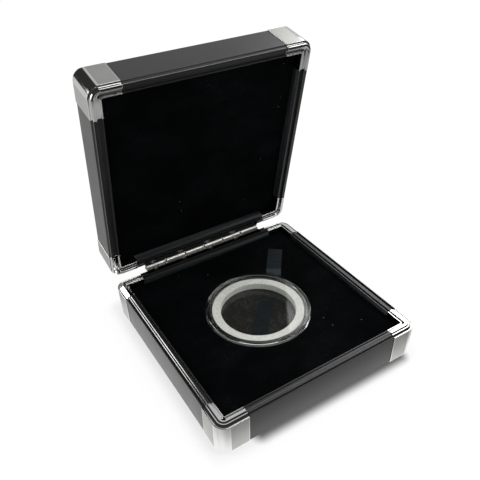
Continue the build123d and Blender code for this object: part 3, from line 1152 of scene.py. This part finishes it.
# How the ribbon lies, as (distance outwards from its rise, height). Heights are counted from the
# recess floor at the foot of the rise, and from the velvet at its head and beyond.
RIBBON_LEAVES_FLOOR_MM = 4.0
RIBBON_FOOT_MM = ((-0.9, 0.0), (0.0, 0.8))
RIBBON_HEAD_MM = ((0.0, -0.5), (0.7, 0.12))
RIBBON_WAVES_MM = ((2.2, 0.32), (4.2, 0.05), (6.5, 0.22), (10.0, 0.03), (14.5, 0.16))
RIBBON_END_HEIGHT_MM = 0.02


def heading(turn):
    return Vector((cos(turn), sin(turn), 0))


def ribbon_stations(ribbon):
    """Points on the ribbon's middle line, each with its direction of travel in plan."""
    floor_z = PAD_FLOOR_BOX[1].z / MM
    top_z = PAD_BOX[1].z / MM
    rise_radius = DISH_BOX[1].x / MM + ribbon.rise_gap
    exit_point = heading(ribbon.exit_angle) * rise_radius
    floor_way = heading(ribbon.floor_heading)
    top_way = heading(ribbon.top_heading)
    rise_way = exit_point.normalized()
    floor_run = 2 * in_mm(settings().pads).recess_radius - RECESS_PLAY_MM + ribbon.tail
    up = Vector((0, 0, 1))
    on_floor = [
        (exit_point - floor_way * run + up * floor_z, floor_way)
        for run in (floor_run, floor_run / 2, RIBBON_LEAVES_FLOOR_MM)
    ]
    foot = [(run, floor_z + height) for run, height in RIBBON_FOOT_MM]
    head = [(run, top_z + height) for run, height in RIBBON_HEAD_MM]
    rising = [
        (exit_point + rise_way * run + up * z, rise_way)
        for run, z in (*foot, (0.0, (floor_z + top_z) / 2), *head)
    ]
    on_velvet = [
        (exit_point + top_way * run + up * (top_z + height), top_way)
        for run, height in (*RIBBON_WAVES_MM, (ribbon.free_length, RIBBON_END_HEIGHT_MM))
    ]
    return [*on_floor, *rising, *on_velvet]


def make_ribbon():
    ribbon = in_mm(settings().ribbon)
    stations = ribbon_stations(ribbon)
    edges = []
    for side in (-1, 1):
        reach = side * ribbon.width / 2
        points = [point + reach * Vector((-way.y, way.x, 0)) for point, way in stations]
        edges.append(smooth_line(points, RIBBON_STEPS))
    steps_along = len(edges[0]) - 1
    travelled = [0.0]
    for first, second in zip(edges[0], edges[0][1:]):
        travelled.append(travelled[-1] + (second - first).length)
    bm = bmesh.new()
    bmesh.ops.create_grid(bm, x_segments=steps_along, y_segments=RIBBON_STEPS, size=1.0)
    own_place = bm.verts.layers.float_vector.new("own_place")
    for vert in bm.verts:
        along = round((vert.co.x + 1) / 2 * steps_along)
        across = (vert.co.y + 1) / 2
        crown = RIBBON_CROWN_MM * (1 - (2 * across - 1) ** 2)
        vert[own_place] = Vector((travelled[along], across * ribbon.width, 0)) * MM
        vert.co = edges[0][along].lerp(edges[1][along], across) + Vector((0, 0, crown))
    bmesh.ops.recalc_face_normals(bm, faces=bm.faces)
    bmesh.ops.solidify(bm, geom=bm.faces, thickness=ribbon.thickness)
    bmesh.ops.recalc_face_normals(bm, faces=bm.faces)
    finish = finish_of("ribbed_ribbon", ribbon_finish)
    finish_piece(bm, "lift_ribbon", "base", [finish])


def smooth_line(points, steps):
    """Points along a smooth line through the given ones, with an even number between each two."""
    ends = [2 * points[0] - points[1], *points, 2 * points[-1] - points[-2]]
    line = []
    for before, start, end, after in zip(ends, ends[1:], ends[2:], ends[3:]):
        reach = (end - start).length / 3
        start_way = (end - before).normalized() * reach
        end_way = (after - start).normalized() * reach
        for step in range(steps):
            t = step / steps
            line.append(
                start * (1 - t) ** 3
                + (start + start_way) * 3 * t * (1 - t) ** 2
                + (end - end_way) * 3 * t**2 * (1 - t)
                + end * t**3
            )
    return [*line, points[-1]]


# ---- Capsule ----
def capsule_sizes():
    """The capsule's radii and levels in millimetres, from its own underside."""
    capsule = in_mm(settings().capsule)
    capsule.radius = DISH_BOX[1].x / MM
    capsule.bottom = DISH_BOX[0].z / MM
    capsule.thickness = COVER_BOX[1].z / MM - capsule.bottom
    capsule.window = capsule.radius - capsule.rim_width
    capsule.spigot_outer = capsule.radius - capsule.skirt - capsule.snap_clearance
    capsule.cavity = capsule.spigot_outer - capsule.spigot
    capsule.cavity_top = capsule.thickness - capsule.plate
    return capsule


def dish_points(capsule):
    split = (capsule.thickness - capsule.snap_clearance) / 2
    spigot_top = capsule.cavity_top - 2 * capsule.snap_clearance
    return [
        (0, capsule.window_sink),
        (capsule.window, capsule.window_sink),
        (capsule.window + capsule.window_sink, 0),
        (capsule.radius - capsule.chamfer, 0),
        (capsule.radius, capsule.chamfer),
        (capsule.radius, split),
        (capsule.spigot_outer, split),
        (capsule.spigot_outer, spigot_top),
        (capsule.cavity, spigot_top),
        (capsule.cavity, capsule.plate),
        (0, capsule.plate),
    ]


def cover_points(capsule):
    split = (capsule.thickness + capsule.snap_clearance) / 2
    skirt_inner = capsule.spigot_outer + capsule.snap_clearance
    return [
        (0, capsule.cavity_top),
        (skirt_inner, capsule.cavity_top),
        (skirt_inner, split),
        (capsule.radius, split),
        (capsule.radius, capsule.thickness - capsule.chamfer),
        (capsule.radius - capsule.chamfer, capsule.thickness),
        (capsule.window + capsule.window_sink, capsule.thickness),
        (capsule.window, capsule.thickness - capsule.window_sink),
        (0, capsule.thickness - capsule.window_sink),
    ]


def make_capsule():
    capsule = capsule_sizes()
    place = Matrix.Translation((0, 0, capsule.bottom))
    clear = finish_of("clear_plastic", capsule_finish)
    for node, body, points in (
        ("capsule_dish", "capsule", dish_points(capsule)),
        ("capsule_cover", "capsule_lid", cover_points(capsule)),
    ):
        bm = turned_mesh(points)
        round_edges(bm, sharp_edges(bm, 25, level), capsule.edge)
        piece = finish_piece(bm, node, body, [clear], place)
        piece.visible_shadow = False
    outer = RING_BOX[1].x / MM
    inner = outer - capsule.ring_width
    low = RING_BOX[0].z / MM
    high = RING_BOX[1].z / MM
    bm = turned_mesh([(inner, low), (outer, low), (outer, high), (inner, high)])
    round_edges(bm, sharp_edges(bm, 60, level), capsule.ring_edge, 4)
    foam = finish_of("white_foam", foam_finish)
    finish_piece(bm, "capsule_ring", "capsule", [foam])


# ---- Hinge ----
SINK_PAST_MM = 0.1
TAB_ROOT_MM = 0.3


def screw_places():
    hinge = in_mm(settings().hinge)
    middle = (hinge.screw_count - 1) / 2
    return [
        hinge.screw_offset + (index - middle) * hinge.screw_pitch
        for index in range(hinge.screw_count)
    ]


def knuckle_mesh(start_x, end_x):
    """A hollow knuckle with rounded ends on the pin's line."""
    hinge = in_mm(settings().hinge)
    edge = hinge.knuckle_edge
    flat = hinge.barrel_radius - edge
    run = end_x - start_x
    bm = turned_mesh(
        [
            (hinge.bore_radius, 0),
            *arc((flat, edge), edge, 270, 360),
            *arc((flat, run - edge), edge, 0, 90),
            (hinge.bore_radius, run),
        ],
        steps=48,
    )
    to_pin = Matrix.Translation((start_x, HINGE_MM.y, HINGE_MM.z))
    bm.transform(to_pin @ Matrix.Rotation(pi / 2, 4, "Y"))
    return bm


def leaf_mesh(first_knuckle):
    """A leaf on the base's rear rim, with every second knuckle from the first one given."""
    hinge = in_mm(settings().hinge)
    low, high = LEAF_BOX[0] / MM, LEAF_BOX[1] / MM
    leaf_top = BASE_HEIGHT_MM
    leaf_bottom = leaf_top - hinge.leaf_thickness
    near_barrel = HINGE_MM.y - hinge.barrel_radius - hinge.barrel_clearance
    inside_wall = HINGE_MM.y - (hinge.barrel_radius + hinge.bore_radius) / 2
    bm = box_mesh((low.x, low.y, leaf_bottom), (high.x, near_barrel, leaf_top))
    round_edges(bm, sharp_edges(bm, 50), hinge.leaf_edge, 2)
    pitch = (high.x - low.x) / hinge.knuckles
    for index in range(first_knuckle, hinge.knuckles, 2):
        start_x = low.x + index * pitch + hinge.knuckle_gap / 2
        end_x = start_x + pitch - hinge.knuckle_gap
        tab = box_mesh(
            (start_x + 2 * hinge.knuckle_edge, near_barrel - TAB_ROOT_MM, leaf_bottom),
            (end_x - 2 * hinge.knuckle_edge, inside_wall, leaf_top),
        )
        knuckle = combined(knuckle_mesh(start_x, end_x), tab, "UNION")
        bm = combined(bm, knuckle, "UNION")
    sink_depth = hinge.screw_sink - hinge.screw_hole
    for x in screw_places():

        def on_axis(z):
            return x, hinge.screw_y, z

        sink = rod_mesh(
            hinge.screw_hole,
            on_axis(leaf_top - sink_depth),
            on_axis(leaf_top + SINK_PAST_MM),
            hinge.screw_sink + SINK_PAST_MM,
        )
        shank_end = on_axis(leaf_top - sink_depth / 2)
        shank = rod_mesh(hinge.screw_hole, on_axis(leaf_bottom - CUT_PAST_MM), shank_end)
        bm = combined(bm, sink, "DIFFERENCE")
        bm = combined(bm, shank, "DIFFERENCE")
    return bm


def make_hinge():
    nickel = finish_of("drawn_nickel", nickel_finish)
    finish_piece(leaf_mesh(0), "hinge_leaf_base", "base", [nickel])
    lid_leaf_place = lid_place(BASE_HEIGHT_MM)
    finish_piece(leaf_mesh(1), "hinge_leaf_lid", "lid", [nickel], lid_leaf_place)
    screw = finish_of("nickel_screw", screw_finish)
    for node in ("hinge_pin", "hinge_screws_base", "hinge_screws_lid"):
        materials = frame["nodes"][node].data.materials
        materials.clear()
        materials.append(screw)


# ---- Stage ----
CAMERA_AIM_MM = Vector((-10.374, -4.860, 43.281))
IMAGE_SIZE = 480
IMAGE_CENTRE = (242.41, 263.64)

SOFTBOXES = {
    # name: (place, width, height, radiance)
    "left_window": ((-0.36, 0.33, 0.16), 0.17, 0.26, 4.0),
    "right_window": ((0.42, 0.24, 0.41), 0.26, 0.26, 2.8),
    "overhead": ((0.21, -0.14, 0.52), 0.34, 0.34, 2.4),
}

# Where the look of the room changes in mirrors, along each axis of the direction looked in.
ROOM_BEHIND = (-0.40, 0.10)
ROOM_AT_RIGHT = (0.02, 0.22)
ROOM_OVER_FLOOR = (0.02, 0.14)

# Where the look of the floor changes, in metres from the case or along Y.
FLOOR_HALF = 6.0
FLOOR_WHITE = 0.92
SHADE_REACH = 0.007
SHADE_AT_CASE = 0.42
NEAR_REACH = 0.010
FRONT_FADE = (-0.058, -0.046)
SHEET_END_FADE = (-0.085, -0.073)
PAST_SHEET = 0.05
RAILS_MIDDLE = (0.005, 0.0)


def make_camera():
    stage = settings().stage
    camera_data = bpy.data.cameras.new("camera")
    camera_data.lens = stage.focal_length
    camera_data.sensor_width = 36.0
    camera_data.shift_x = (IMAGE_SIZE / 2 - IMAGE_CENTRE[0]) / IMAGE_SIZE
    camera_data.shift_y = (IMAGE_CENTRE[1] - IMAGE_SIZE / 2) / IMAGE_SIZE
    camera_data.clip_start = 0.01
    camera = bpy.data.objects.new("camera", camera_data)
    bpy.context.scene.collection.objects.link(camera)
    back = Vector(
        (
            sin(stage.azimuth) * cos(stage.elevation),
            -cos(stage.azimuth) * cos(stage.elevation),
            sin(stage.elevation),
        )
    )
    place = Matrix.Translation(CAMERA_AIM_MM * MM + back * stage.distance)
    turn = (-back).to_track_quat("-Z", "Y").to_matrix().to_4x4()
    camera.matrix_world = place @ turn @ Matrix.Rotation(stage.roll, 4, "Z")
    bpy.context.scene.camera = camera


def soft_light(name, place, aim, width, height, radiance):
    """A softbox of a given radiance, turned to a point."""
    light = bpy.data.lights.new(name, "AREA")
    light.shape = "RECTANGLE"
    light.size = width
    light.size_y = height
    light.energy = radiance * pi * width * height
    holder = bpy.data.objects.new(name, light)
    holder.visible_camera = False
    bpy.context.scene.collection.objects.link(holder)
    holder.location = place
    holder.rotation_euler = (Vector(aim) - Vector(place)).to_track_quat("-Z", "Y").to_euler()


class Surroundings(NodeBuilder):
    """Nodes of a floor or world that look different to cameras, mirrors and matt surfaces."""

    def __init__(self, tree):
        super().__init__(tree)
        path = tree.nodes.new("ShaderNodeLightPath").outputs
        self.mirrored = path["Is Glossy Ray"]
        self.seen = self.math("MAXIMUM", path["Is Camera Ray"], path["Is Transmission Ray"])

    def eased(self, value, low_high, low_value, high_value):
        """Eases a value's range from low to high onto two values."""
        return self.ramp(value, *low_high, low_value, high_value, kind="SMOOTHSTEP")

    def chosen(self, switch, off_value, on_value):
        return self.eased(switch, (0.0, 1.0), off_value, on_value)

    def outside_box(self, place, middle, half_size):
        """Distance in plan from a box, in metres."""
        distance = place
        for operation, vector in (
            ("SUBTRACT", (*middle, 0.0)),
            ("ABSOLUTE", None),
            ("SUBTRACT", (*half_size, 1.0)),
            ("MAXIMUM", (0.0, 0.0, 0.0)),
            ("LENGTH", None),
        ):
            node = self.tree.nodes.new("ShaderNodeVectorMath")
            node.operation = operation
            self.put(node.inputs[0], distance)
            if vector:
                self.put(node.inputs[1], vector)
            distance = node.outputs["Value" if operation == "LENGTH" else "Vector"]
        return distance

    def glow(self, strength):
        """White light of a strength."""
        return self.node("Emission", Strength=strength)

    def mixed(self, share_of_second, first, second):
        """Mixes two shaders."""
        mix = self.tree.nodes.new("ShaderNodeMixShader")
        for socket, value in zip(mix.inputs, (share_of_second, first, second)):
            self.put(socket, value)
        return mix.outputs[0]


def make_world():
    """White to the camera, and a room to mirrors.

    The room has a pale band at the floor. Above it, it is bright behind the case on the right and
    dark elsewhere.
    """
    stage = settings().stage
    world = bpy.data.worlds.new("white_room")
    bpy.context.scene.world = world
    world.use_nodes = True
    nodes = Surroundings(world.node_tree)
    background = world.node_tree.nodes["Background"]
    direction = nodes.node("TexCoord", output="Generated")
    x, y, z = (nodes.node("SeparateXYZ", output=axis, Vector=direction) for axis in "XYZ")
    behind = nodes.eased(y, ROOM_BEHIND, 0.0, 1.0)
    at_right = nodes.eased(x, ROOM_AT_RIGHT, 0.0, 1.0)
    lit = nodes.math("MULTIPLY", behind, at_right)
    room = nodes.chosen(lit, stage.room_dark, stage.room_bright)
    in_mirrors = nodes.eased(z, ROOM_OVER_FLOOR, stage.floor_far, room)
    on_case = nodes.chosen(nodes.mirrored, stage.surround, in_mirrors)
    strength = nodes.chosen(nodes.seen, on_case, 1.0)
    nodes.set(background, {"Color": (1, 1, 1), "Strength": strength})


def floor_material():
    """White to the camera but for the case's shadow, and a pale sheet to mirrors.

    The sheet ends in front of the case.
    """
    stage = settings().stage
    case_half = CASE_HALF_MM * MM
    rail_half = case_half - CORNER_LEG_MM * MM
    material = bpy.data.materials.new("pale_floor")
    material.use_nodes = True
    tree = material.node_tree
    nodes = Surroundings(tree)
    place = nodes.node("TexCoord", output="Object")
    y = nodes.node("SeparateXYZ", output="Y", Vector=place)
    from_case = nodes.outside_box(place, (0.0, 0.0), (case_half, case_half))
    from_rails = nodes.outside_box(place, RAILS_MIDDLE, (rail_half, case_half))
    contact = nodes.eased(from_rails, (0.0, stage.contact_reach), stage.contact_dark, 1.0)

    matt = tree.nodes["Principled BSDF"]
    white = nodes.math("MULTIPLY", contact, FLOOR_WHITE)
    paint = nodes.node("CombineColor", Red=white, Green=white, Blue=white)
    nodes.set(matt, {"Base_Color": paint, "Roughness": 1.0, "Specular_IOR_Level": 0.0})
    glow = nodes.glow(nodes.math("MULTIPLY", contact, stage.floor_glow))
    shadow_share = nodes.eased(from_case, (0.0, SHADE_REACH), SHADE_AT_CASE, stage.floor_shadow)
    glow_share = nodes.chosen(nodes.seen, 0.0, nodes.math("SUBTRACT", 1.0, shadow_share))
    to_camera = nodes.mixed(glow_share, matt.outputs[0], glow)

    near = nodes.eased(from_case, (0.0, NEAR_REACH), stage.floor_near, stage.floor_far)
    in_front = nodes.eased(y, FRONT_FADE, stage.floor_front, 1.0)
    to_sheet_end = nodes.eased(y, SHEET_END_FADE, PAST_SHEET, 1.0)
    brightness = nodes.math("MULTIPLY", nodes.math("MULTIPLY", near, in_front), to_sheet_end)
    look = nodes.mixed(nodes.mirrored, to_camera, nodes.glow(brightness))
    nodes.put(tree.nodes["Material Output"].inputs["Surface"], look)
    return material


def make_floor():
    bm = bmesh.new()
    bmesh.ops.create_grid(bm, x_segments=1, y_segments=1, size=FLOOR_HALF)
    mesh = bpy.data.meshes.new("floor")
    bm.to_mesh(mesh)
    bm.free()
    mesh.materials.append(floor_material())
    floor = bpy.data.objects.new("floor", mesh)
    bpy.context.scene.collection.objects.link(floor)


def make_stage():
    bpy.context.scene.view_settings.view_transform = "Standard"
    make_camera()
    make_world()
    make_floor()
    middle = (MODEL_BOX[0] + MODEL_BOX[1]) / 2
    for name, (place, width, height, radiance) in SOFTBOXES.items():
        soft_light(name, place, middle, width, height, radiance)


# ---- Operators and panel ----
class COINCASE_OT_rails(bpy.types.Operator):
    """Makes the eight rails of the frame."""

    bl_idname = "coin_case.rails"
    bl_label = "Rails"

    def execute(self, context):
        make_rails()
        return {"FINISHED"}


class COINCASE_OT_corners(bpy.types.Operator):
    """Makes the eight moulded corners."""

    bl_idname = "coin_case.corners"
    bl_label = "Corners"

    def execute(self, context):
        make_corners()
        return {"FINISHED"}


class COINCASE_OT_boards(bpy.types.Operator):
    """Makes the two boards that close the halves."""

    bl_idname = "coin_case.boards"
    bl_label = "Boards"

    def execute(self, context):
        make_boards()
        return {"FINISHED"}


class COINCASE_OT_pads(bpy.types.Operator):
    """Makes the velvet pads."""

    bl_idname = "coin_case.pads"
    bl_label = "Velvet Pads"

    def execute(self, context):
        make_pads()
        return {"FINISHED"}


class COINCASE_OT_ribbon(bpy.types.Operator):
    """Makes the ribbon that lifts the capsule out."""

    bl_idname = "coin_case.ribbon"
    bl_label = "Lifting Ribbon"

    def execute(self, context):
        make_ribbon()
        return {"FINISHED"}


class COINCASE_OT_capsule(bpy.types.Operator):
    """Makes the clear capsule and its foam ring."""

    bl_idname = "coin_case.capsule"
    bl_label = "Capsule"

    def execute(self, context):
        make_capsule()
        return {"FINISHED"}


class COINCASE_OT_hinge(bpy.types.Operator):
    """Makes the hinge leaves and finishes the pin and screws."""

    bl_idname = "coin_case.hinge"
    bl_label = "Hinge"

    def execute(self, context):
        make_hinge()
        return {"FINISHED"}


class COINCASE_OT_stage(bpy.types.Operator):
    """Makes the floor, lights and camera."""

    bl_idname = "coin_case.stage"
    bl_label = "Stage"

    def execute(self, context):
        make_stage()
        return {"FINISHED"}


STEPS = (
    COINCASE_OT_rails,
    COINCASE_OT_corners,
    COINCASE_OT_boards,
    COINCASE_OT_pads,
    COINCASE_OT_ribbon,
    COINCASE_OT_capsule,
    COINCASE_OT_hinge,
    COINCASE_OT_stage,
)


class COINCASE_PT_panel(bpy.types.Panel):
    """Lists the sizes, the finishes and the steps that make the case."""

    bl_label = "Coin Case"
    bl_idname = "COINCASE_PT_panel"
    bl_space_type = "VIEW_3D"
    bl_region_type = "UI"
    bl_category = "Coin Case"

    def draw(self, context):
        case = context.scene.coin_case
        for name in case.bl_rna.properties.keys():
            group = getattr(case, name)
            if not isinstance(group, bpy.types.PropertyGroup):
                continue
            box = self.layout.box()
            box.label(text=name.capitalize())
            for prop in group.bl_rna.properties:
                if prop.identifier not in ("rna_type", "name"):
                    box.prop(group, prop.identifier)
        for step in STEPS:
            self.layout.operator(step.bl_idname)


CLASSES = (
    FrameSettings,
    PadSettings,
    CapsuleSettings,
    RibbonSettings,
    HingeSettings,
    FinishSettings,
    StageSettings,
    CoinCaseSettings,
    *STEPS,
    COINCASE_PT_panel,
)


def register():
    for cls in CLASSES:
        bpy.utils.register_class(cls)
    bpy.types.Scene.coin_case = PointerProperty(type=CoinCaseSettings)


def unregister():
    del bpy.types.Scene.coin_case
    for cls in reversed(CLASSES):
        bpy.utils.unregister_class(cls)


def main():
    register()
    bpy.ops.coin_case.rails()
    bpy.ops.coin_case.corners()
    bpy.ops.coin_case.boards()
    bpy.ops.coin_case.pads()
    bpy.ops.coin_case.ribbon()
    bpy.ops.coin_case.capsule()
    bpy.ops.coin_case.hinge()
    bpy.ops.coin_case.stage()


if __name__ == "__main__":
    main()
